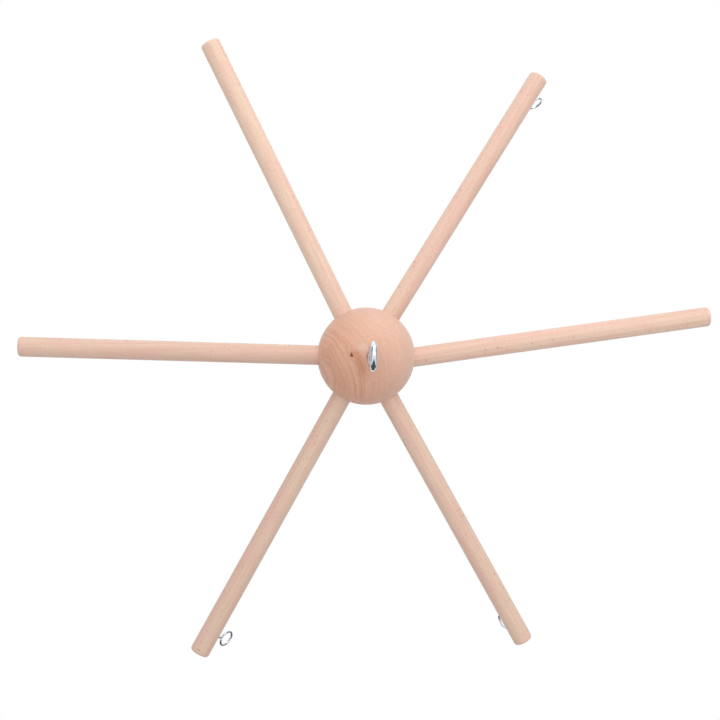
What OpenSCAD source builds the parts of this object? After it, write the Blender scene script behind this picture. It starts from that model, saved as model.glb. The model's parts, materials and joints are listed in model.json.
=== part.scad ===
/* [Ball] */
// Diameter of the turned wooden ball
ball_d = 50; // [46:1:60]
// Depth of each arm socket, measured along the socket from the ball's surface
socket_depth = 13.5; // [10:0.5:14]

/* [Arms] */
// Diameter of the dowel that the arms are cut from
arm_d = 10; // [8:0.5:10.5]
// Length that every arm is cut to
arm_length = 160; // [100:5:250]
// Chamfer on the outer end of an arm
tip_chamfer = 1.2; // [0.5:0.1:2]
// Chamfer on the end that goes into the ball
root_chamfer = 0.6; // [0.3:0.1:1]
// Radial clearance of an arm in its socket
socket_clearance = 0.05; // [0.02:0.01:0.1]

/* [How each arm sits, anticlockwise from +X] */
// Turn of each socket away from a true 60 degree star, seen from above, in degrees
socket_skew = [9, -1, -2.5, -0.5, 2, 0.5]; // [-9:0.5:9]
// Rise of each socket out of the ball's level, in degrees
socket_lean = [3, -2, 1.5, 0, -0.5, -3]; // [-3:0.5:3]
// Gap left between each arm's end and the bottom of its socket
socket_gap = [7.9, 0.9, 5.5, 3.2, 2, 0.4]; // [0.4:0.1:8.2]
// Roll of each arm in its socket, which swings its small eye out to the clockwise side, in degrees
arm_roll = [4, 25, -5, 3, -37, 13]; // [-45:1:45]
// Turn of each small eye about its own shank, in degrees
eye_turn = [0, 32, 20, 0, 0, 10]; // [-90:1:90]
// Distance from each arm's tip back to its small eye
eye_from_tip = [9, 8, 9, 9, 10, 9]; // [8:0.5:20]

/* [Small eye under each arm] */
// Wire diameter of a small eye
small_wire = 1.2; // [1:0.1:1.8]
// Outer diameter of a small eye's ring
small_ring = 9; // [8:0.5:11]
// Distance from an arm's axis down to the centre of the ring
small_drop = 16; // [14:0.5:20]
// Depth of the small eye's shank in the arm
small_grip = 7.5; // [6:0.1:8]

/* [Hanging eye on top of the ball] */
// Wire diameter of the hanging eye
top_wire = 3.6; // [2.8:0.1:4]
// Outer diameter of the hanging eye's ring
top_ring = 15; // [14:0.2:18]
// Height of the ring's centre above the ball's centre
top_rise = 36.5; // [35:0.5:40]
// Depth of the hanging eye's shank in the ball
top_grip = 12; // [10:0.5:14]

/* [Hidden] */
$fn = 96;
ball_r = ball_d / 2;
arm_r = arm_d / 2;
arm_step = 60;
// How far each arm stands out of the ball
function arm_reach(i) = arm_length - socket_depth + socket_gap[i - 1];
// Radial clearance of a thread's crests in the hole that they run in
thread_clearance = 0.04;
// Room left past the point of a shank at the bottom of its hole
point_room = 0.3;
// Pitch, groove depth and free length of a wood thread, as parts of the wire's diameter
pitch_ratio = 0.6;
groove_ratio = 0.16;
point_ratio = 1.5;
// Width of the slot that a ring's free end leaves beside the shank
small_slot = 0.35;
top_slot = 0.2;
overrun = 5;

// The model's origin is the centre of the hanging eye's ring, so the ball's centre is below it.
module at_ball() translate([0, 0, -top_rise]) children();

// Moves to the mouth of socket i on the ball's surface, with +X out along the arm.
module at_socket(i) {
    at_ball()
        rotate([0, 0, arm_step * (i - 1)])
            translate([ball_r, 0, 0])
                rotate([0, -socket_lean[i - 1], socket_skew[i - 1]])
                    children();
}

// Moves to the centre of small eye i's ring, with +Z up the shank into the arm.
module at_arm_eye(i) {
    at_socket(i)
        translate([arm_reach(i) - eye_from_tip[i - 1], 0, 0])
            rotate([-arm_roll[i - 1], 0, 0])
                translate([0, 0, -small_drop])
                    children();
}

// Moves to the centre of the hanging eye's ring, with +Z down the shank into the ball.
module at_hub_eye() rotate([180, 0, 90]) children();

// Half of a shank's outline from the ring's wire to its point: plain wire, thread ridges, cone.
function shank_outline(wire_r, start, thread_start, end) =
    let (
        pitch = pitch_ratio * 2 * wire_r,
        root_r = wire_r * (1 - 2 * groove_ratio),
        point_start = end - point_ratio * 2 * wire_r,
        ridges = floor((point_start - thread_start) / pitch)
    )
    concat(
        [[0, start], [wire_r, start], [wire_r, thread_start]],
        [for (n = [0 : ridges - 1], p = [[root_r, 0.35], [root_r, 0.5], [wire_r, 0.85], [wire_r, 1]])
            [p[0], thread_start + pitch * (n + p[1])]],
        [[root_r, point_start + pitch * 0.4], [0.1 * wire_r, end], [0, end]]
    );

// A screw eye with its ring's centre at the origin, its hole along Y and its point along +Z.
module screw_eye(wire_d, ring_d, slot, thread_start, end) {
    wire_r = wire_d / 2;
    bend_r = ring_d / 2 - wire_r;
    free_angle = asin((wire_r + slot) / bend_r) + asin(wire_r / bend_r) * 0.2;
    color("silver") {
        rotate_extrude()
            polygon(shank_outline(wire_r, bend_r, thread_start, end));
        rotate([90, -90, 0])
            rotate_extrude(angle = 360 - free_angle)
                translate([bend_r, 0])
                    circle(r = wire_r);
    }
}

// The hole that a screw eye's shank turns in, along +Z from the ring's centre.
module shank_hole(wire_d, start, end) {
    translate([0, 0, start])
        cylinder(r = wire_d / 2 + thread_clearance, h = end + point_room - start);
}

module hub() {
    color("tan")
        difference() {
            at_ball() sphere(r = ball_r);
            for (i = [1 : 6])
                at_socket(i)
                    translate([-socket_depth, 0, 0])
                        rotate([0, 90, 0])
                            cylinder(r = arm_r + socket_clearance, h = socket_depth + overrun);
            at_hub_eye()
                shank_hole(top_wire, top_ring / 2, top_rise - ball_r + top_grip);
        }
}

module hub_eye() {
    at_hub_eye()
        screw_eye(top_wire, top_ring, top_slot, top_rise - ball_r, top_rise - ball_r + top_grip);
}

// A dowel with both ends chamfered, drilled from below for its small eye.
module arm(i) {
    root = -socket_depth + socket_gap[i - 1];
    tip = arm_reach(i);
    color("wheat")
        difference() {
            at_socket(i)
                rotate([0, 90, 0])
                    rotate_extrude()
                        polygon([[0, root],
                                 [arm_r - root_chamfer, root],
                                 [arm_r, root + root_chamfer],
                                 [arm_r, tip - tip_chamfer],
                                 [arm_r - tip_chamfer, tip],
                                 [0, tip]]);
            at_arm_eye(i)
                shank_hole(small_wire, small_ring / 2, small_drop - arm_r + small_grip);
        }
}

module arm_eye(i) {
    at_arm_eye(i)
        rotate([0, 0, -eye_turn[i - 1]])
            screw_eye(small_wire, small_ring, small_slot,
                      small_drop - arm_r - small_wire, small_drop - arm_r + small_grip);
}

hub();
hub_eye();
arm(1);  // arm_1
arm(2);  // arm_2
arm(3);  // arm_3
arm(4);  // arm_4
arm(5);  // arm_5
arm(6);  // arm_6
arm_eye(1);  // arm_eye_1
arm_eye(2);  // arm_eye_2
arm_eye(3);  // arm_eye_3
arm_eye(4);  // arm_eye_4
arm_eye(5);  // arm_eye_5
arm_eye(6);  // arm_eye_6
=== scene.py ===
import json
import math
import bpy
import numpy as np
from mathutils import Matrix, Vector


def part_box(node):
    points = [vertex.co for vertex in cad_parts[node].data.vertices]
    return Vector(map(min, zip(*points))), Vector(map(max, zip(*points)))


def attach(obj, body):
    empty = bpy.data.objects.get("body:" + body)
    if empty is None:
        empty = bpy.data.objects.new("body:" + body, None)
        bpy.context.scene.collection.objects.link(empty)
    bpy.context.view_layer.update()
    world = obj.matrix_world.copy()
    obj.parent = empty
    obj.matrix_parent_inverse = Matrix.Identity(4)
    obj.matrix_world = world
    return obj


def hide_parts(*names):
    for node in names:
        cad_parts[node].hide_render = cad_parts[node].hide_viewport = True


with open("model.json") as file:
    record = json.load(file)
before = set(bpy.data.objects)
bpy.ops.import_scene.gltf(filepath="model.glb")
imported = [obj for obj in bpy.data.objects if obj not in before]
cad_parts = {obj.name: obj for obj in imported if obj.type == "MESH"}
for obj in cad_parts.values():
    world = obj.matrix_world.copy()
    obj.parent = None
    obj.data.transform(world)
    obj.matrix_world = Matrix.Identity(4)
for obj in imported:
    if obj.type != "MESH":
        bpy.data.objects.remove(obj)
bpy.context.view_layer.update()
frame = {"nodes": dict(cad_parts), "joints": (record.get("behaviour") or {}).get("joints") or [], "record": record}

# A hanging mobile frame: a turned beech ball, six beech dowels pushed into it, a screw eye on top
# and a small screw eye under each dowel's tip. Lengths are in millimetres until they go into a mesh.
mm = 0.001
armNumbers = range(1, 7)
print("frame loaded:", len(frame["nodes"]), "nodes")


# reading the frame

def nodePoints(node):
    # every corner of a CAD node's mesh, in millimetres
    mesh = frame["nodes"][node].data
    flat = np.empty(len(mesh.vertices) * 3)
    mesh.vertices.foreach_get("co", flat)
    return flat.reshape(-1, 3) / mm


def unit(vector):
    # the vector divided by its own length
    vector = np.asarray(vector, dtype=float)
    return vector / np.linalg.norm(vector)


def jointOf(body):
    # the joint whose child is this body
    return next(joint for joint in frame["joints"] if joint["child"] == body)


def mountPlace(name):
    # where a mount is, in millimetres
    mount = next(mount for mount in frame["record"]["mounts"] if mount["name"] == name)
    return np.array(mount["pos_m"]) / mm


def readBall():
    # the ball stands straight under the origin, and nothing cuts its full height
    low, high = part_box("hub")
    return {"centre": np.array([0, 0, (low[2] + high[2]) / 2 / mm]), "radius": (high[2] - low[2]) / 2 / mm}


def readArm(number):
    # the dowel's middle line runs along its slide joint, halfway between its corners measured across it
    along = unit(jointOf(f"arm_{number}")["axis"])
    side = unit(np.cross([0, 0, 1], along))
    up = np.cross(along, side)
    axes = np.array([along, side, up])
    local = nodePoints(f"arm_{number}") @ axes.T
    low, high = local.min(axis=0), local.max(axis=0)
    start = np.array([low[0], *((low + high) / 2)[1:]]) @ axes
    return {"start": start, "axes": axes, "length": high[0] - low[0], "radius": (high[2] - low[2]) / 2}


def readEye(node, body, centre, sign=1):
    # the shank runs along the eye's hinge, the ring lies across it where the corners spread furthest,
    # and the slot at the ring's free end is on the side that has less of the ring
    shank = sign * unit(jointOf(body)["axis"])
    local = nodePoints(node) - centre
    height = local @ shank
    ring = local[np.linalg.norm(local, axis=1) < -height.min() * 1.02]
    first = unit(np.cross(shank, [1.0, 0.3, 0.2]))
    second = np.cross(shank, first)
    flat = np.stack([ring @ first, ring @ second])
    spread = np.linalg.eigh(flat @ flat.T)[1][:, 1]
    across = spread[0] * first + spread[1] * second
    across = across * -np.sign((ring @ across).mean())
    hole = np.cross(shank, across)
    wire = (ring @ hole).max()
    return {"centre": centre, "axes": np.array([across, hole, shank]), "wire": wire,
            "ring": -height.min() - wire, "reach": height.max()}


ball = readBall()
arms = {number: readArm(number) for number in armNumbers}
eyes = {number: readEye(f"arm_eye_{number}", f"eye_{number}", mountPlace(f"toy_eye_{number}"))
        for number in armNumbers}
topEye = readEye("hub_eye", "ball", mountPlace("hanging_eye"), sign=-1)
print("frame read: ball radius", round(ball["radius"], 2), "arm length", round(arms[1]["length"], 2))


# surfaces: a grid of points, rows along and columns round

def surface(name, grid):
    # each cell of the grid is a four-sided face; the columns join up round the piece, and each end row
    # closes on a point in its middle; the faces are turned over if the volume inside comes out negative
    rows, columns = grid.shape[:2]
    points = np.concatenate([grid.reshape(-1, 3), grid[[0, -1]].mean(axis=1)])
    index = np.arange(rows * columns).reshape(rows, columns)
    after = np.roll(index, -1, axis=1)
    quads = np.stack([index[:-1], after[:-1], after[1:], index[1:]], axis=-1).reshape(-1, 4)
    firstCap = np.stack([after[0], index[0], np.full(columns, rows * columns)], axis=-1)
    lastCap = np.stack([index[-1], after[-1], np.full(columns, rows * columns + 1)], axis=-1)
    corners = points[quads]
    inside = np.einsum("ij,ij->i", corners[:, 0], np.cross(corners[:, 1], corners[:, 2])).sum()
    inside += np.einsum("ij,ij->i", corners[:, 0], np.cross(corners[:, 2], corners[:, 3])).sum()
    turn = -1 if inside < 0 else 1
    faces = [face[:, ::turn].tolist() for face in (quads, firstCap, lastCap)]
    mesh = bpy.data.meshes.new(name)
    mesh.from_pydata((points * mm).tolist(), [], faces[0] + faces[1] + faces[2])
    mesh.update()
    piece = bpy.data.objects.new(name, mesh)
    bpy.context.scene.collection.objects.link(piece)
    return piece


def smooth(piece, angle=35):
    # soft shading everywhere but across edges sharper than the angle
    piece.data.shade_smooth()
    piece.data.set_sharp_from_angle(angle=math.radians(angle))


def drill(piece, cutters):
    # takes the cutters out of the piece, and the cutters away
    for cutter in cutters:
        cut = piece.modifiers.new("hole", "BOOLEAN")
        cut.operation = "DIFFERENCE"
        cut.solver = "EXACT"
        cut.object = cutter
    graph = bpy.context.evaluated_depsgraph_get()
    finished = bpy.data.meshes.new_from_object(piece.evaluated_get(graph))
    piece.modifiers.clear()
    rough = piece.data
    piece.data = finished
    bpy.data.meshes.remove(rough)
    finished.name = piece.name
    for cutter in cutters:
        bpy.data.meshes.remove(cutter.data)


def turned(name, start, axes, profile, around):
    # a lathe: each profile point is a distance along the first axis and a radius round it
    angle = np.linspace(0, 2 * math.pi, around, endpoint=False)
    along, radius = profile[:, 0:1], profile[:, 1:2]
    grid = (start + along[..., None] * axes[0]
            + (radius * np.cos(angle))[..., None] * axes[1]
            + (radius * np.sin(angle))[..., None] * axes[2])
    return surface(name, grid)


def roundedEdge(edge, radius, rounding, outward, steps=7):
    # a quarter circle from the flat end face to the barrel, at the end that faces outward (+1 or -1)
    turn = np.linspace(0, math.pi / 2, steps)
    along = edge - outward * rounding * (1 - np.cos(turn))
    out = radius - rounding * (1 - np.sin(turn))
    corner = np.stack([along, out], axis=-1)
    return corner[::-1] if outward > 0 else corner


cutterOverrun = 4    # how far a cutter stands out of the surface that it cuts


def holeCutter(name, start, axes, radius, depth, lip, surfaceAt, around=96):
    # a round plug down its first axis (which points out of the hole), whose wall flares through a
    # quarter circle of the lip's size where it meets the outer surface, at surfaceAt(angle)
    angle = np.linspace(0, 2 * math.pi, around, endpoint=False)
    edge = surfaceAt(angle, radius)
    turn = np.linspace(0, math.pi / 2, 6)[:, None]
    floor = np.full_like(edge, -depth)
    rows = [(floor, np.full_like(edge, radius))]
    for share in np.linspace(0.25, 1, 4):
        rows.append((floor + (edge - lip - floor) * share, np.full_like(edge, radius)))
    flare = zip(edge - lip + lip * np.sin(turn[1:]), radius + lip - lip * np.cos(turn[1:]))
    rows += [(height, np.broadcast_to(out, edge.shape)) for height, out in flare]
    rows.append((edge + cutterOverrun, np.full_like(edge, radius + lip)))
    height = np.array([row[0] for row in rows])
    out = np.array([row[1] for row in rows])
    grid = (start + height[..., None] * axes[0]
            + (out * np.cos(angle))[..., None] * axes[1]
            + (out * np.sin(angle))[..., None] * axes[2])
    return surface(name, grid)


def take(piece, node, body, material):
    # the piece stands for its CAD node, rides where the node rode and wears its own material
    piece.data.materials.clear()
    piece.data.materials.append(material)
    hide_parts(node)
    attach(piece, body)


# materials

def colour(hexValue, paintedShade=1.0):
    # an sRGB hex colour as linear red, green, blue and alpha, made lighter or darker by a factor of painted shade
    parts = np.array([int(hexValue[n:n + 2], 16) for n in (0, 2, 4)]) / 255
    linear = np.where(parts <= 0.04045, parts / 12.92, ((parts + 0.055) / 1.055) ** 2.4)
    return (*(linear * paintedShade).tolist(), 1.0)


def node(tree, kind, inputs=None, **settings):
    # adds one node: settings go on the node, and inputs are plain values or the outputs that feed them
    made = tree.nodes.new(kind)
    for name, value in settings.items():
        setattr(made, name, value)
    for socket, value in (inputs or {}).items():
        if isinstance(value, bpy.types.NodeSocket):
            tree.links.new(value, made.inputs[socket])
        else:
            made.inputs[socket].default_value = value
    return made


def blank(name):
    # a new material with nothing in it but its output
    material = bpy.data.materials.new(name)
    material.use_nodes = True
    material.node_tree.nodes.clear()
    return material, material.node_tree


def band(tree, value, low, high, start=0.0, end=1.0):
    # start below low, end above high, and a smooth step between them
    made = node(tree, "ShaderNodeMapRange", {0: value, 1: low, 2: high, 3: start, 4: end},
                interpolation_type="SMOOTHSTEP")
    return made.outputs[0]


def maths(tree, operation, first, second=0.0):
    # one sum of two numbers
    return node(tree, "ShaderNodeMath", {0: first, 1: second}, operation=operation).outputs[0]


def blend(tree, amount, first, second, mode="MIX"):
    # the second colour over the first, by the amount
    return node(tree, "ShaderNodeMix", {0: amount, 6: first, 7: second},
                data_type="RGBA", blend_type=mode).outputs[2]


def scaled(tree, place, sizes, shift=(0, 0, 0)):
    # the place in units of the given sizes, in millimetres along each of its axes
    return node(tree, "ShaderNodeMapping", {"Vector": place, "Location": shift,
                                            "Scale": tuple(1 / size for size in sizes)}).outputs[0]


def noise(tree, place, detail=2.0, roughness=0.5):
    # soft noise from 0 to 1, one lump to each unit of the place
    return node(tree, "ShaderNodeTexNoise", {"Vector": place, "Scale": 1.0, "Detail": detail,
                                             "Roughness": roughness}).outputs[0]


def layers(tree, depth, thickness, detail=1.0):
    # soft noise from 0 to 1 that changes only with depth, one layer to each thickness
    return node(tree, "ShaderNodeTexNoise", {"W": maths(tree, "DIVIDE", depth, thickness), "Scale": 1.0,
                                             "Detail": detail}, noise_dimensions="1D").outputs[0]


def vectorMaths(tree, operation, first, second=(0, 0, 0), scale=1.0, output=0):
    # one sum of two vectors; output 1 is the number that a length, a distance or a dot product gives
    return node(tree, "ShaderNodeVectorMath", {0: first, 1: second, 3: scale},
                operation=operation).outputs[output]


def grainPlace(tree, origin, axes):
    # millimetres along the piece's own three axes, from its own origin
    turn = Matrix(axes.tolist())
    shift = tuple(-(axes @ origin))
    objectPlace = node(tree, "ShaderNodeTexCoord").outputs["Object"]
    return node(tree, "ShaderNodeMapping", {"Vector": objectPlace, "Location": shift,
                                            "Rotation": turn.to_euler("XYZ"),
                                            "Scale": (1 / mm, 1 / mm, 1 / mm)}).outputs[0]


beech = {
    "earlyWood": "E8CBB3",    # the pale wood grown in spring
    "lateWood": "D2A088",     # the line that closes each year
    "fleck": "A87658",        # rays cut end on, the small brown spindles that mark beech
    "blush": "E8BCAC",        # pink steamed patches
    "endGrain": "C2977F",     # open pores drink light at a sawn end
    "farSide": "E2C0AB", "farFrom": -5.0, "farTo": 6.0,    # wood furthest from the pith, a little redder
    "ringStrength": 0.30, "ringFade": 0.8, "lineStrength": 0.22, "fleckStrength": 0.4,
    "fibreStrength": 0.2, "endStrength": 0.7, "blushStrength": 0.6, "blushSize": (20.0, 5.0, 5.0),
    "wanderSize": (55, 9, 9), "patchSize": (60, 6, 6), "poreSize": (3.0, 0.22, 0.22),
    "ringWidth": 2.4, "ringUneven": 1.2, "ringWander": 1.1, "lineWidth": 0.55, "pithAway": 46.0,
    "ringEdge": 0.93,         # how sharply each year ends, from 0.5, soft, to 1, a hard line
    "fleckSize": (2.2, 0.40, 5.0),    # real ones are about 0.2 wide, drawn wider so that they show
    "fibreSize": (22.0, 0.30, 0.30),
    "roughness": 0.56, "sheen": 0.3, "specular": 0.32, "reliefDepth": 0.035,
}


def makeBeech(name, origin, axes, seed, look=beech, paintedShade=1.0, mark=None):
    # beech, cut along the grain and fine sanded with no varnish: pale and silky, with soft yearly lines of
    # uneven width, short brown flecks along the grain, a faint bloom at its edges, and duller sawn ends
    material, tree = blank(name)

    # every colour here is darkened by the piece's painted shade
    def tint(key):
        return colour(look[key], paintedShade)

    def share(amount, key):
        return maths(tree, "MULTIPLY", amount, look[key])
    place = grainPlace(tree, origin, axes)
    shift = (seed * 17.3, seed * 5.1, seed * 9.7)
    wander = node(tree, "ShaderNodeTexNoise", {"Vector": scaled(tree, place, look["wanderSize"], shift),
                                               "Scale": 1.0, "Detail": 1.5}).outputs["Color"]
    wander = vectorMaths(tree, "SUBTRACT", wander, (0.5, 0.5, 0.5))
    bent = vectorMaths(tree, "ADD", place, vectorMaths(tree, "SCALE", wander, scale=2 * look["ringWander"]))
    if mark:
        bent = vectorMaths(tree, "ADD", bent, mark["push"](tree, place))
    # the rings are rounds about a pith that lies along the grain, outside the piece; noise that changes
    # only with the distance from the pith makes good and bad years, and the fine lines inside each year
    pith = vectorMaths(tree, "ADD", bent, (0, 0, look["pithAway"]))
    depth = vectorMaths(tree, "LENGTH", vectorMaths(tree, "MULTIPLY", pith, (0, 1, 1)), output=1)
    uneven = maths(tree, "MULTIPLY", layers(tree, depth, 2.3 * look["ringWidth"]), look["ringUneven"])
    year = maths(tree, "FRACT", maths(tree, "ADD", maths(tree, "DIVIDE", depth, look["ringWidth"]), uneven))
    late = maths(tree, "MULTIPLY", band(tree, year, 0.25, 0.9),
                 band(tree, year, look["ringEdge"], 1.0, 1.0, 0.0))
    patchy = noise(tree, scaled(tree, place, look["patchSize"], shift), 2.0)
    patchy = band(tree, patchy, 0.3, 0.7, 0.35, 1.0)
    away = node(tree, "ShaderNodeSeparateXYZ", {0: place}).outputs[2]
    patchy = maths(tree, "MULTIPLY", patchy, band(tree, away, look["farFrom"], look["farTo"],
                                                  look["ringFade"], 1.0))
    late = maths(tree, "MULTIPLY", late, patchy)
    lines = band(tree, layers(tree, depth, look["lineWidth"], 2.0), 0.45, 0.75)
    lines = maths(tree, "MULTIPLY", lines, patchy)
    fibre = noise(tree, scaled(tree, bent, look["fibreSize"], shift), 3.0, 0.6)
    cells = node(tree, "ShaderNodeTexVoronoi", {"Vector": scaled(tree, bent, look["fleckSize"], shift),
                                                "Scale": 1.0, "Randomness": 1.0})
    chosen = node(tree, "ShaderNodeSeparateColor", {0: cells.outputs["Color"]}).outputs[0]
    fleck = maths(tree, "MULTIPLY", band(tree, cells.outputs["Distance"], 0.12, 0.34, 1.0, 0.0),
                  band(tree, chosen, 0.5, 0.7))
    blush = band(tree, noise(tree, scaled(tree, place, look["blushSize"], shift), 2.0), 0.38, 0.66)
    tone = blend(tree, band(tree, away, look["farFrom"], look["farTo"]), tint("earlyWood"), tint("farSide"))
    tone = blend(tree, share(blush, "blushStrength"), tone, tint("blush"))
    tone = blend(tree, share(late, "ringStrength"), tone, tint("lateWood"))
    tone = blend(tree, share(lines, "lineStrength"), tone, tint("lateWood"))
    tone = blend(tree, share(band(tree, fibre, 0.35, 0.72), "fibreStrength"), tone, tint("lateWood"))
    tone = blend(tree, share(fleck, "fleckStrength"), tone, tint("fleck"))
    # the share of the surface that looks along the grain is end grain
    facing = node(tree, "ShaderNodeTexCoord").outputs["Normal"]
    sawn = vectorMaths(tree, "DOT_PRODUCT", facing, tuple(axes[0]), output=1)
    sawn = band(tree, maths(tree, "ABSOLUTE", sawn), 0.6, 0.97)
    tone = blend(tree, share(sawn, "endStrength"), tone, tint("endGrain"))
    if mark:
        tone = mark["paint"](tree, place, tone)
    pores = noise(tree, scaled(tree, bent, look["poreSize"], shift), 2.0, 0.6)
    height = maths(tree, "ADD", maths(tree, "MULTIPLY", fibre, 0.6), maths(tree, "MULTIPLY", pores, 0.4))
    relief = node(tree, "ShaderNodeBump", {"Height": height, "Strength": 0.35,
                                           "Distance": look["reliefDepth"] * mm}).outputs[0]
    rough = band(tree, fibre, 0.2, 0.8, look["roughness"] - 0.05, look["roughness"] + 0.09)
    wood = node(tree, "ShaderNodeBsdfPrincipled", {"Base Color": tone, "Roughness": rough, "Normal": relief,
                                                   "IOR": 1.5, "Specular IOR Level": look["specular"],
                                                   "Sheen Weight": look["sheen"], "Sheen Roughness": 0.45})
    node(tree, "ShaderNodeOutputMaterial", {"Surface": wood.outputs[0]})
    return material


plating = {
    "metal": "E4E7EB",          # bright nickel over steel, faintly blue
    "groove": "8E9196",         # dust and shade that stay in the thread
    "grooveStrength": 0.7, "grooveRoughness": 0.2,
    "roughness": (0.06, 0.15),    # of its brightest and its dullest patches
    "patchesPerMetre": 260,
    "drawLine": (6.0, 0.12),    # lines left by the drawing die, along the wire and round it
    "lineDepth": 0.01,
}


def makePlated(name):
    # steel wire bent and threaded, then barrel plated with bright nickel: a mirror with faint drawn lines
    # along the wire and a little grey in the roots of the thread
    material, tree = blank(name)
    path = node(tree, "ShaderNodeUVMap", uv_map="alongWire").outputs[0]
    lines = noise(tree, scaled(tree, path, (*plating["drawLine"], 1)), 3.0, 0.6)
    place = node(tree, "ShaderNodeTexCoord").outputs["Object"]
    patches = node(tree, "ShaderNodeMapping", {"Vector": place, "Scale": (plating["patchesPerMetre"],) * 3})
    patches = noise(tree, patches.outputs[0], 3.0)
    root = node(tree, "ShaderNodeAttribute", attribute_name="threadDepth").outputs["Fac"]
    tone = blend(tree, maths(tree, "MULTIPLY", root, plating["grooveStrength"]),
                 colour(plating["metal"]), colour(plating["groove"]))
    rough = maths(tree, "ADD", band(tree, patches, 0.35, 0.7, *plating["roughness"]),
                  maths(tree, "MULTIPLY", root, plating["grooveRoughness"]))
    relief = node(tree, "ShaderNodeBump", {"Height": lines, "Strength": 0.12,
                                           "Distance": plating["lineDepth"] * mm}).outputs[0]
    metal = node(tree, "ShaderNodeBsdfPrincipled", {"Base Color": tone, "Metallic": 1.0, "Roughness": rough,
                                                    "Normal": relief})
    node(tree, "ShaderNodeOutputMaterial", {"Surface": metal.outputs[0]})
    return material


# the ball

ballLook = {
    **beech,
    "earlyWood": "E0B7A0", "lateWood": "BE8061", "blush": "DBA88E", "fleck": "A06A50",
    "farSide": "DDAA8E", "farFrom": -14.0, "farTo": 17.0,
    "ringWidth": 3.4, "ringEdge": 0.72, "ringStrength": 0.42, "ringFade": 0.12, "ringWander": 1.5,
    "ringUneven": 2.8, "lineWidth": 0.8, "lineStrength": 0.6, "pithAway": 42.0,
    "fleckSize": (2.4, 0.45, 5.0), "fleckStrength": 0.15,
    "fibreSize": (20.0, 0.45, 0.45), "fibreStrength": 0.28,
    "blushSize": (30.0, 9.0, 9.0), "blushStrength": 0.35,
    "reliefDepth": 0.012, "endStrength": 0.2,
    "grain": (-0.40, 0.915, 0.06),      # which way the grain runs through the ball
    "outward": (-0.915, -0.40, 0.05),    # away from the pith
    "knotAt": (-9.2, 0.7, 23.2), "knotWidth": 0.75, "knotUp": 1.5, "knotDown": 1.1, "knotColour": "5E352E",
    "streakFrom": (-7.8, 3.6, 23.5), "streakTo": (-1.2, -11.5, 22.2), "streakWidth": 1.9,
    "streakColour": "C47E54", "streakStrength": 0.6,
    "paleAt": (-4.0, 4.2, 24.3), "paleSize": 4.5, "paleColour": "E3C9BB", "paleStrength": 0.4,
    "socketDepth": 13.5, "socketLip": 0.35, "clearance": 0.05,
    "pilotLip": 0.25, "pilotClearance": 0.04, "pilotRoom": 0.3, "pilotColumns": 64,
}


def ballAxes():
    # the grain's direction first, then the way along the rings, then the way away from the pith
    grain = unit(ballLook["grain"])
    away = unit(np.cross(np.cross(grain, ballLook["outward"]), grain))
    return np.array([grain, np.cross(away, grain), away])


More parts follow.
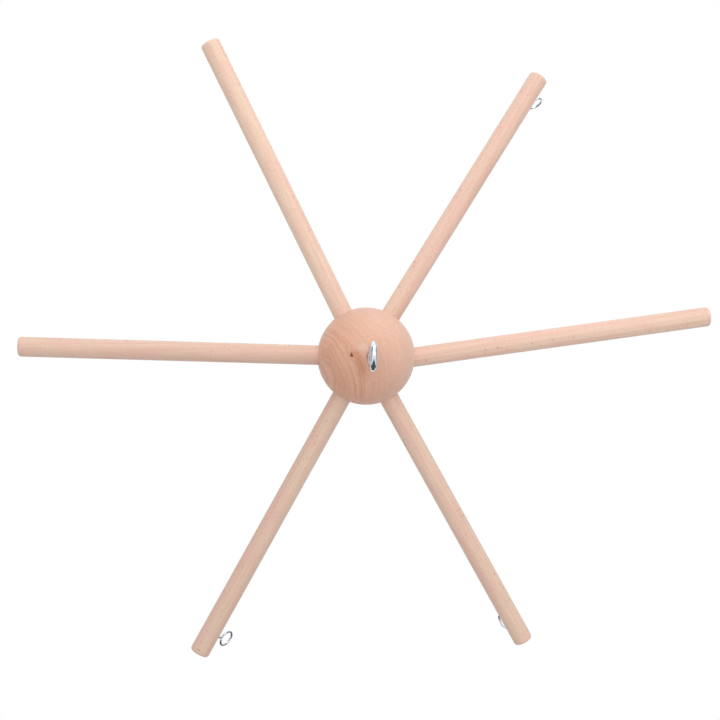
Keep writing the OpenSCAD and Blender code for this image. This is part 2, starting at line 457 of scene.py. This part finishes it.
def knotMark(axes):
    # a pin knot with a pointed top, the grain pushed round it, the reddish streak that runs past it and a
    # pale patch beside them; points given from the ball's centre are turned to the grain's own axes
    knot, start, end, pale = (axes @ np.array(ballLook[key])
                              for key in ("knotAt", "streakFrom", "streakTo", "paleAt"))
    length = np.linalg.norm(end - start)
    run = (end - start) / length
    acrossStreak = unit(np.cross(start, end))
    right, up = axes @ np.array([1.0, 0, 0]), axes @ np.array([0, 1.0, 0])

    def push(tree, place):
        gap = vectorMaths(tree, "DISTANCE", place, tuple(knot), output=1)
        return vectorMaths(tree, "SCALE", (0.0, 0.6, -1.4), scale=band(tree, gap, 0.0, 5.0, 1.0, 0.0))

    def streak(tree, place, ragged):
        # 1 in the plane through start, end and the ball's centre, fading at its sides and both ends
        offset = vectorMaths(tree, "SUBTRACT", place, tuple(start))
        along = vectorMaths(tree, "DOT_PRODUCT", offset, tuple(run), output=1)
        off = vectorMaths(tree, "DOT_PRODUCT", place, tuple(acrossStreak), output=1)
        side = maths(tree, "ADD", maths(tree, "ABSOLUTE", off), ragged)
        line = band(tree, side, ballLook["streakWidth"] * 0.4, ballLook["streakWidth"] * 2.0, 1.0, 0.0)
        ends = maths(tree, "MULTIPLY", band(tree, along, -0.5, 2.5),
                     band(tree, along, length * 0.6, length * 1.15, 1.0, 0.0))
        return maths(tree, "MULTIPLY", line, ends)

    def core(tree, place, ragged):
        # a triangle with soft sides: it narrows from its foot to its top
        offset = vectorMaths(tree, "SUBTRACT", place, tuple(knot))
        sideways = maths(tree, "ABSOLUTE", vectorMaths(tree, "DOT_PRODUCT", offset, tuple(right), output=1))
        rise = vectorMaths(tree, "DOT_PRODUCT", offset, tuple(up), output=1)
        slope = ballLook["knotWidth"] / (ballLook["knotUp"] + ballLook["knotDown"])
        half = maths(tree, "MULTIPLY", maths(tree, "SUBTRACT", ballLook["knotUp"], rise), slope)
        past = maths(tree, "SUBTRACT", maths(tree, "ADD", sideways, ragged), half)
        inside = maths(tree, "MULTIPLY", band(tree, past, -0.1, 0.3, 1.0, 0.0),
                       band(tree, rise, -ballLook["knotDown"] - 0.2, -ballLook["knotDown"] + 0.2))
        near = band(tree, vectorMaths(tree, "LENGTH", offset, output=1), 3.0, 4.0, 1.0, 0.0)
        return maths(tree, "MULTIPLY", inside, near)

    def paint(tree, place, tone):
        ragged = maths(tree, "MULTIPLY", noise(tree, scaled(tree, place, (2.5, 1.2, 1.2)), 2.0), 1.2)
        red = maths(tree, "MULTIPLY", streak(tree, place, ragged), ballLook["streakStrength"])
        tone = blend(tree, red, tone, colour(ballLook["streakColour"]))
        patch = vectorMaths(tree, "DISTANCE", place, tuple(pale), output=1)
        patch = band(tree, patch, 0.0, ballLook["paleSize"], ballLook["paleStrength"], 0.0)
        tone = blend(tree, patch, tone, colour(ballLook["paleColour"]))
        gap = vectorMaths(tree, "DISTANCE", place, tuple(knot), output=1)
        halo = band(tree, gap, 0.0, 2.6, 0.45, 0.0)
        tone = blend(tree, halo, tone, colour(ballLook["streakColour"]))
        small = maths(tree, "MULTIPLY", ragged, 0.15)
        return blend(tree, core(tree, place, small), tone, colour(ballLook["knotColour"]))

    return {"push": push, "paint": paint}


def socketMouth(number):
    # where a dowel's middle line leaves the ball
    arm = arms[number]
    offset = arm["start"] - ball["centre"]
    toward = arm["axes"][0]
    inward = offset @ toward
    toSurface = -inward + math.sqrt(inward ** 2 - offset @ offset + ball["radius"] ** 2)
    return arm["start"] + toward * toSurface


def ballSurfaceAt(start, axes):
    # how far along the hole's axis each side of its wall meets the ball
    def reach(angle, radius):
        out = (start - ball["centre"] + radius * np.cos(angle)[:, None] * axes[1]
               + radius * np.sin(angle)[:, None] * axes[2])
        ahead = out @ axes[0]
        return -ahead + np.sqrt(ahead ** 2 - (out ** 2).sum(axis=1) + ball["radius"] ** 2)
    return reach


def makeBall():
    # rings of a globe from pole to pole, then the sockets and the pilot hole drilled out of it
    latitude = np.linspace(0, math.pi, 146)[1:-1]
    profile = np.stack([-ball["radius"] * np.cos(latitude), ball["radius"] * np.sin(latitude)], axis=-1)
    standing = np.array([[0, 0, 1], [1, 0, 0], [0, 1, 0]])
    piece = turned("ball", ball["centre"], standing, profile, 288)
    cutters = []
    for number in armNumbers:
        mouth, axes = socketMouth(number), arms[number]["axes"]
        radius = arms[number]["radius"] + ballLook["clearance"]
        cutters.append(holeCutter(f"socket_{number}", mouth, axes, radius, ballLook["socketDepth"],
                                  ballLook["socketLip"], ballSurfaceAt(mouth, axes)))
    across, hole, shank = topEye["axes"]
    axes = np.array([-shank, across, -hole])
    radius, depth = topEye["wire"] + ballLook["pilotClearance"], topEye["reach"] + ballLook["pilotRoom"]
    cutters.append(holeCutter("pilot", topEye["centre"], axes, radius, depth, ballLook["pilotLip"],
                              ballSurfaceAt(topEye["centre"], axes), ballLook["pilotColumns"]))
    drill(piece, cutters)
    smooth(piece)
    axes = ballAxes()
    material = makeBeech("turnedBeechBall", ball["centre"], axes, 3.7, ballLook, mark=knotMark(axes))
    take(piece, "hub", "ball", material)
    return piece


ballPiece = makeBall()
print("ball made:", len(ballPiece.data.polygons), "faces")


# the arms

armLook = {
    "tipRounding": 1.3, "rootRounding": 0.6, "columns": 96, "rowGap": 1.1,
    "pilotLip": 0.15, "clearance": 0.04, "room": 0.3,
    "grainTurn": (20, 130, 250, 75, 200, 310),    # the side that faced away from the pith, in degrees
    "grainSlope": (0.9, -1.2, 0.6, 1.4, -0.7, 1.0),    # how far the grain runs out of true, in degrees
    "paintedShade": (1.0, 1.0, 1.0, 0.93, 0.88, 0.92),      # painted shade: darker on the dowels furthest from the lights
}


def armGrain(number):
    # the grain runs nearly along the dowel, with the pith on its own side
    turn = math.radians(armLook["grainTurn"][number - 1])
    slope = math.radians(armLook["grainSlope"][number - 1])
    along, side, up = arms[number]["axes"]
    away = math.cos(turn) * side + math.sin(turn) * up
    grain = unit(along + math.tan(slope) * away)
    away = unit(away - (away @ grain) * grain)
    return np.array([grain, np.cross(away, grain), away])


def makeArm(number):
    # a straight dowel with a rounded edge at each end, and a cross hole from below for its small eye
    arm, eye = arms[number], eyes[number]
    length, radius = arm["length"], arm["radius"]
    root, tip = armLook["rootRounding"], armLook["tipRounding"]
    barrel = np.arange(root + armLook["rowGap"], length - tip, armLook["rowGap"])
    inner = np.array([0.3, 0.6, 0.85])    # the rings on a flat end face, as parts of its radius
    rings = [np.stack([np.zeros(3), (radius - root) * inner], axis=-1),
             roundedEdge(0, radius, root, -1),
             np.stack([barrel, np.full_like(barrel, radius)], axis=-1),
             roundedEdge(length, radius, tip, 1),
             np.stack([np.full(3, length), (radius - tip) * inner[::-1]], axis=-1)]
    piece = turned(f"dowel_{number}", arm["start"], arm["axes"], np.concatenate(rings), armLook["columns"])
    # the cross hole's foot is where the shank's line meets the dowel's middle line
    along, shank = arm["axes"][0], eye["axes"][2]
    toStart = arm["start"] - eye["centre"]
    foot = eye["centre"] + shank * (toStart @ shank - (along @ shank) * (toStart @ along))
    across = unit(along - (along @ shank) * shank)
    axes = np.array([-shank, across, np.cross(-shank, across)])
    depth = eye["reach"] - np.linalg.norm(foot - eye["centre"]) + armLook["room"]

    def barrelAt(angle, hole):
        # the wall of a cross hole meets the dowel lower down towards its sides
        return np.sqrt(radius ** 2 - (hole * np.sin(angle)) ** 2)
    cutter = holeCutter(f"cross_{number}", foot, axes, eye["wire"] + armLook["clearance"], depth,
                        armLook["pilotLip"], barrelAt, 48)
    drill(piece, [cutter])
    smooth(piece)
    # the dowels furthest from the lights are drawn darker: painted shade
    material = makeBeech(f"beechDowel{number}", arm["start"], armGrain(number), 1.9 * number,
                         paintedShade=armLook["paintedShade"][number - 1])
    take(piece, f"arm_{number}", f"arm_{number}", material)
    return piece


armPieces = [makeArm(number) for number in armNumbers]
print("arms made:", sum(len(piece.data.polygons) for piece in armPieces), "faces")


# the screw eyes

def eyePath(eye, settings):
    # down the shank's middle line, round a small bend the other way, then round the ring to its free end;
    # each step is a place across and a height along the shank, with the unit way that it heads
    ring, bend = eye["ring"], eye["wire"] * settings["bend"]
    rise = math.sqrt(ring ** 2 + 2 * ring * bend)
    joinAngle = math.asin(bend / (ring + bend))
    slot = math.asin((eye["wire"] + settings["slot"]) / ring)
    height = np.linspace(eye["reach"], rise, settings["shankSteps"], endpoint=False)
    level = np.zeros_like(height)
    straight = np.stack([level, height, level, level - 1], axis=-1)
    turn = np.linspace(0, math.pi / 2 - joinAngle, settings["bendSteps"], endpoint=False)
    corner = np.stack([-bend + bend * np.cos(turn), rise - bend * np.sin(turn),
                       -np.sin(turn), -np.cos(turn)], axis=-1)
    sweep = np.linspace(joinAngle, 2 * math.pi - slot, settings["ringSteps"])
    loop = np.stack([-ring * np.sin(sweep), ring * np.cos(sweep), -np.cos(sweep), -np.sin(sweep)], axis=-1)
    return np.concatenate([straight, corner, loop])


def makeEye(name, eye, woodAt, settings):
    # a wire carried along its path: its radius is cut by a right-handed groove that winds down the shank,
    # narrows to a point at one end, and rounds off to a cut face at the free end of the ring
    path = eyePath(eye, settings)
    wire, around = eye["wire"], settings["around"]
    pitch, groove = settings["pitch"] * 2 * wire, settings["groove"] * 2 * wire
    angle = np.linspace(0, 2 * math.pi, around, endpoint=False)
    across, _, shank = eye["axes"]
    height = path[:, 1:2]
    onShank = np.arange(len(path))[:, None] < settings["shankSteps"]
    turns = (height - woodAt) / pitch - angle / (2 * math.pi)
    tooth = np.abs((turns % 1) * 2 - 1)
    depth = np.clip((tooth - 0.25) / 0.5, 0, 1)
    depth = depth * depth * (3 - 2 * depth)
    start = woodAt - settings["threadOut"]
    fade = np.clip((height - start) / pitch, 0, 1) * onShank
    taper = np.clip((eye["reach"] - height) / (settings["point"] * 2 * wire), 0.0, 1) ** 0.75
    taper = np.where(onShank, np.maximum(taper, 0.06), 1.0)
    radius = (wire - groove * depth * fade) * taper
    # more rings past the end of the path round off the cut face: each one's radius, and how far past the
    # end it stands, as parts of the wire's radius
    capRadius, capPush = np.array([[0.97], [0.9], [0.6], [0.3]]), np.array([0.06, 0.1, 0.11, 0.115])
    place = np.concatenate([path, np.repeat(path[-1:], len(capPush), axis=0)])
    radius = np.concatenate([radius, radius[-1:] * capRadius])
    depthAll = np.concatenate([depth * fade, np.zeros((len(capPush), around))])
    push = np.concatenate([np.zeros(len(path)), wire * capPush])
    middle = place[:, :2] + push[:, None] * place[:, 2:]
    middle = middle[:, 0:1] * across + middle[:, 1:2] * shank
    outward = -place[:, 3:4] * across + place[:, 2:3] * shank
    grid = (eye["centre"] + middle[:, None, :] + (radius * np.cos(angle))[..., None] * outward[:, None, :]
            + (radius * np.sin(angle))[..., None] * (np.cross(shank, across)))
    piece = surface(name, grid)
    mesh = piece.data
    depthValues = np.concatenate([depthAll.ravel(), [0, 0]])
    attribute = mesh.attributes.new("threadDepth", "FLOAT", "POINT")
    attribute.data.foreach_set("value", depthValues)
    # the map along the wire: millimetres along it, and millimetres round it
    steps = np.linalg.norm(np.diff(place[:, :2], axis=0), axis=1)
    travel = np.concatenate([[0], np.cumsum(steps)])
    girth = wire * (1 + np.sin(angle)) * math.pi / 2
    u = np.concatenate([np.repeat(travel, around), travel[[0, -1]]])
    v = np.concatenate([np.tile(girth, len(place)), [0, 0]])
    corner = np.empty(len(mesh.loops), dtype=np.int32)
    mesh.loops.foreach_get("vertex_index", corner)
    layer = mesh.uv_layers.new(name="alongWire")
    layer.data.foreach_set("uv", np.stack([u[corner], v[corner]], axis=-1).ravel())
    smooth(piece, 50)
    return piece


smallEye = {"bend": 1.5, "slot": 0.35, "pitch": 0.6, "groove": 0.16, "threadOut": 1.2, "point": 1.5,
            "shankSteps": 200, "bendSteps": 14, "ringSteps": 130, "around": 32}
bigEye = {"bend": 0.7, "slot": 0.2, "pitch": 0.6, "groove": 0.16, "threadOut": 0.0, "point": 1.5,
          "shankSteps": 220, "bendSteps": 14, "ringSteps": 180, "around": 48}

platedWire = makePlated("nickelPlatedWire")
ballTop = np.linalg.norm(ball["centre"] - topEye["centre"]) - ball["radius"]
eyePiece = makeEye("hanging_eye", topEye, ballTop, bigEye)
take(eyePiece, "hub_eye", "top_eye", platedWire)
for number in armNumbers:
    arm, eye = arms[number], eyes[number]
    reach = arm["start"] - eye["centre"]
    lineGap = np.linalg.norm(reach - (reach @ arm["axes"][0]) * arm["axes"][0])
    piece = makeEye(f"toy_eye_{number}", eye, lineGap - arm["radius"], smallEye)
    take(piece, f"arm_eye_{number}", f"eye_{number}", platedWire)
print("screw eyes made:", len(eyePiece.data.polygons), "faces on the big one")


# the stage: a lit white table far below, two soft lights on the +Y side and a bright room; the plated
# wire gets its dark lines from the darker parts of the room and from a dark column on the -Y side

stage = {
    "tableDrop": 450, "tableSize": 6000, "tableTint": "EDF2F8",
    "tableGlow": 0.8, "tableBright": 1.35, "tableBrightFrom": (-200, 300),
    "tableDark": 0.06, "tableDarkFrom": (420, 620), "tableTaper": 0.1,
    "tableSlope": (0.75, 1.3), "tableSlopeFrom": (-600, 600),
    "key": {"at": (150, 700, 270), "size": (700, 500), "watts": 1.75},
    "fill": {"at": (60, 260, 480), "size": (700, 400), "watts": 0.62},
    "domeBright": 0.97, "domeTint": "F9FBFF", "roomDark": "343C45", "panelTop": (0.30, 0.48),
    "sidesBright": 0.12, "sidesGrey": 0.4, "frontTaper": 1.2,
    "columnDark": 0.04, "columnTaper": 0.65, "softRoom": 0.8,
}


def wedge(tree, parts, toward, taper):
    # how far a place or a way lies inside the wedge round +Y or -Y: its Y part that way less the taper
    # times its X part
    sideways = maths(tree, "MULTIPLY", maths(tree, "ABSOLUTE", parts[0]), taper)
    return maths(tree, "SUBTRACT", maths(tree, "MULTIPLY", parts[1], toward), sideways)


def makeTable():
    # a backlit white sheet, flat and square: plain white to the camera, and a little blue to the pieces,
    # whose reflections see it brighter toward +Y and -Y, with the dark column's foot across its -Y side
    half = stage["tableSize"] / 2
    side = np.linspace(-half, half, 9)
    x, y = np.meshgrid(side, side, indexing="ij")
    points = np.stack([x, y, np.full_like(x, -stage["tableDrop"])], axis=-1).reshape(-1, 3) * mm
    index = np.arange(x.size).reshape(x.shape)
    corners = (index[:-1, :-1], index[1:, :-1], index[1:, 1:], index[:-1, 1:])
    faces = np.stack(corners, axis=-1).reshape(-1, 4)
    mesh = bpy.data.meshes.new("table")
    mesh.from_pydata(points.tolist(), [], faces.tolist())
    table = bpy.data.objects.new("table", mesh)
    bpy.context.scene.collection.objects.link(table)
    material, tree = blank("backlitAcrylic")
    place = node(tree, "ShaderNodeTexCoord").outputs["Object"]
    parts = node(tree, "ShaderNodeSeparateXYZ", {0: place}).outputs
    rays = node(tree, "ShaderNodeLightPath").outputs

    def metres(key):
        return [distance * mm for distance in stage[key]]
    # reflections see the sheet brighter toward +Y and -Y than toward its sides
    toward = maths(tree, "SUBTRACT", maths(tree, "ABSOLUTE", parts[1]), maths(tree, "ABSOLUTE", parts[0]))
    ends = maths(tree, "MULTIPLY", band(tree, toward, *metres("tableBrightFrom")), rays["Is Glossy Ray"])
    level = band(tree, ends, 0.0, 1.0, stage["tableGlow"], stage["tableBright"])
    foot = band(tree, wedge(tree, parts, -1.0, stage["tableTaper"]), *metres("tableDarkFrom"))
    foot = maths(tree, "MULTIPLY", foot, rays["Is Glossy Ray"])
    level = maths(tree, "MULTIPLY", level, band(tree, foot, 0.0, 1.0, 1.0, stage["tableDark"]))
    # the soft light that it gives grows from its -Y side to its +Y side
    soft = band(tree, parts[1], *metres("tableSlopeFrom"), *stage["tableSlope"])
    soft = maths(tree, "POWER", soft, rays["Is Diffuse Ray"])
    level = maths(tree, "MULTIPLY", level, soft)
    lit = node(tree, "ShaderNodeEmission", {"Color": colour(stage["tableTint"]), "Strength": level})
    plain = node(tree, "ShaderNodeEmission", {"Color": colour("FFFFFF"), "Strength": 1.0})
    mixed = node(tree, "ShaderNodeMixShader", {0: rays["Is Camera Ray"], 1: lit.outputs[0],
                                               2: plain.outputs[0]})
    # the sheet can be seen through from below, so that a camera can look at the frame's underside
    back = node(tree, "ShaderNodeNewGeometry").outputs["Backfacing"]
    below = maths(tree, "MULTIPLY", rays["Is Camera Ray"], back)
    seen = node(tree, "ShaderNodeMixShader", {0: below, 1: mixed.outputs[0],
                                              2: node(tree, "ShaderNodeBsdfTransparent").outputs[0]})
    node(tree, "ShaderNodeOutputMaterial", {"Surface": seen.outputs[0]})
    mesh.materials.append(material)


def makeLight(name, settings):
    # a flat soft light that looks at the ball
    data = bpy.data.lights.new(name, "AREA")
    data.shape = "RECTANGLE"
    data.size, data.size_y = (side * mm for side in settings["size"])
    data.energy = settings["watts"]
    light = bpy.data.objects.new(name, data)
    back = unit(np.array(settings["at"]) - ball["centre"])
    side = unit(np.cross([0.01, 0, 1], back))
    turn = Matrix(np.array([side, np.cross(back, side), back]).T.tolist()).to_4x4()
    light.matrix_world = Matrix.Translation(np.array(settings["at"]) * mm) @ turn
    bpy.context.scene.collection.objects.link(light)


def makeRoom():
    # white overhead and in a wedge toward +Y, dark to either side of that wedge, grey at +X and -X, and
    # brighter again toward -Y, where a dark column narrows as it rises; only reflections see the dark parts
    # at their full depth, and the camera sees plain white
    world = bpy.data.worlds.new("room")
    bpy.context.scene.world = world
    world.use_nodes = True
    tree = world.node_tree
    tree.nodes.clear()
    way = node(tree, "ShaderNodeTexCoord").outputs["Generated"]
    parts = node(tree, "ShaderNodeSeparateXYZ", {0: way}).outputs
    opening = band(tree, parts[2], *stage["panelTop"])
    front = band(tree, wedge(tree, parts, 1.0, stage["frontTaper"]), 0.0, 0.25)
    sides = band(tree, maths(tree, "ABSOLUTE", parts[0]), 0.75, 0.95, 0.0, stage["sidesGrey"])
    behind = band(tree, parts[1], -0.75, 0.0, 1.0, stage["sidesBright"])
    for other in (front, sides, behind):
        opening = maths(tree, "MAXIMUM", opening, other)
    column = band(tree, wedge(tree, parts, -1.0, stage["columnTaper"]), 0.2, 0.4, 1.0, stage["columnDark"])
    bright = maths(tree, "MULTIPLY", opening, column)
    rays = node(tree, "ShaderNodeLightPath").outputs
    soft = maths(tree, "MULTIPLY", maths(tree, "SUBTRACT", 1.0, rays["Is Glossy Ray"]), stage["softRoom"])
    bright = maths(tree, "MAXIMUM", bright, soft)
    tone = blend(tree, bright, colour(stage["roomDark"]), colour(stage["domeTint"]))
    lit = node(tree, "ShaderNodeBackground", {"Color": tone, "Strength": stage["domeBright"]})
    plain = node(tree, "ShaderNodeBackground", {"Color": colour("FFFFFF"), "Strength": 1.0})
    mixed = node(tree, "ShaderNodeMixShader", {0: rays["Is Camera Ray"], 1: lit.outputs[0],
                                               2: plain.outputs[0]})
    node(tree, "ShaderNodeOutputWorld", {"Surface": mixed.outputs[0]})


makeTable()
makeLight("key", stage["key"])
makeLight("fill", stage["fill"])
makeRoom()

# the camera looks nearly straight down from above the ball, a few degrees out of square with the frame

view = {"distance": 600, "lens": 58.43, "aside": (-3.11, -1.98), "tilt": (0.32, 4.81, -1.15)}


def makeCamera():
    # the tilt turns the frame about X, then Y, then Z, so the camera gets the opposite turn
    aboutX, aboutY, aboutZ = (Matrix.Rotation(math.radians(degrees), 3, axis)
                              for degrees, axis in zip(view["tilt"], "XYZ"))
    turn = np.array((aboutX @ aboutY @ aboutZ).transposed())
    data = bpy.data.cameras.new("camera")
    data.lens = view["lens"]
    data.clip_start = 0.01
    camera = bpy.data.objects.new("camera", data)
    place = ball["centre"] + turn @ np.array([*view["aside"], view["distance"]])
    camera.matrix_world = Matrix.Translation(place * mm) @ Matrix(turn.tolist()).to_4x4()
    bpy.context.scene.collection.objects.link(camera)
    bpy.context.scene.camera = camera


makeCamera()
bpy.context.scene.view_settings.view_transform = "Standard"
print("stage, lights and camera made")
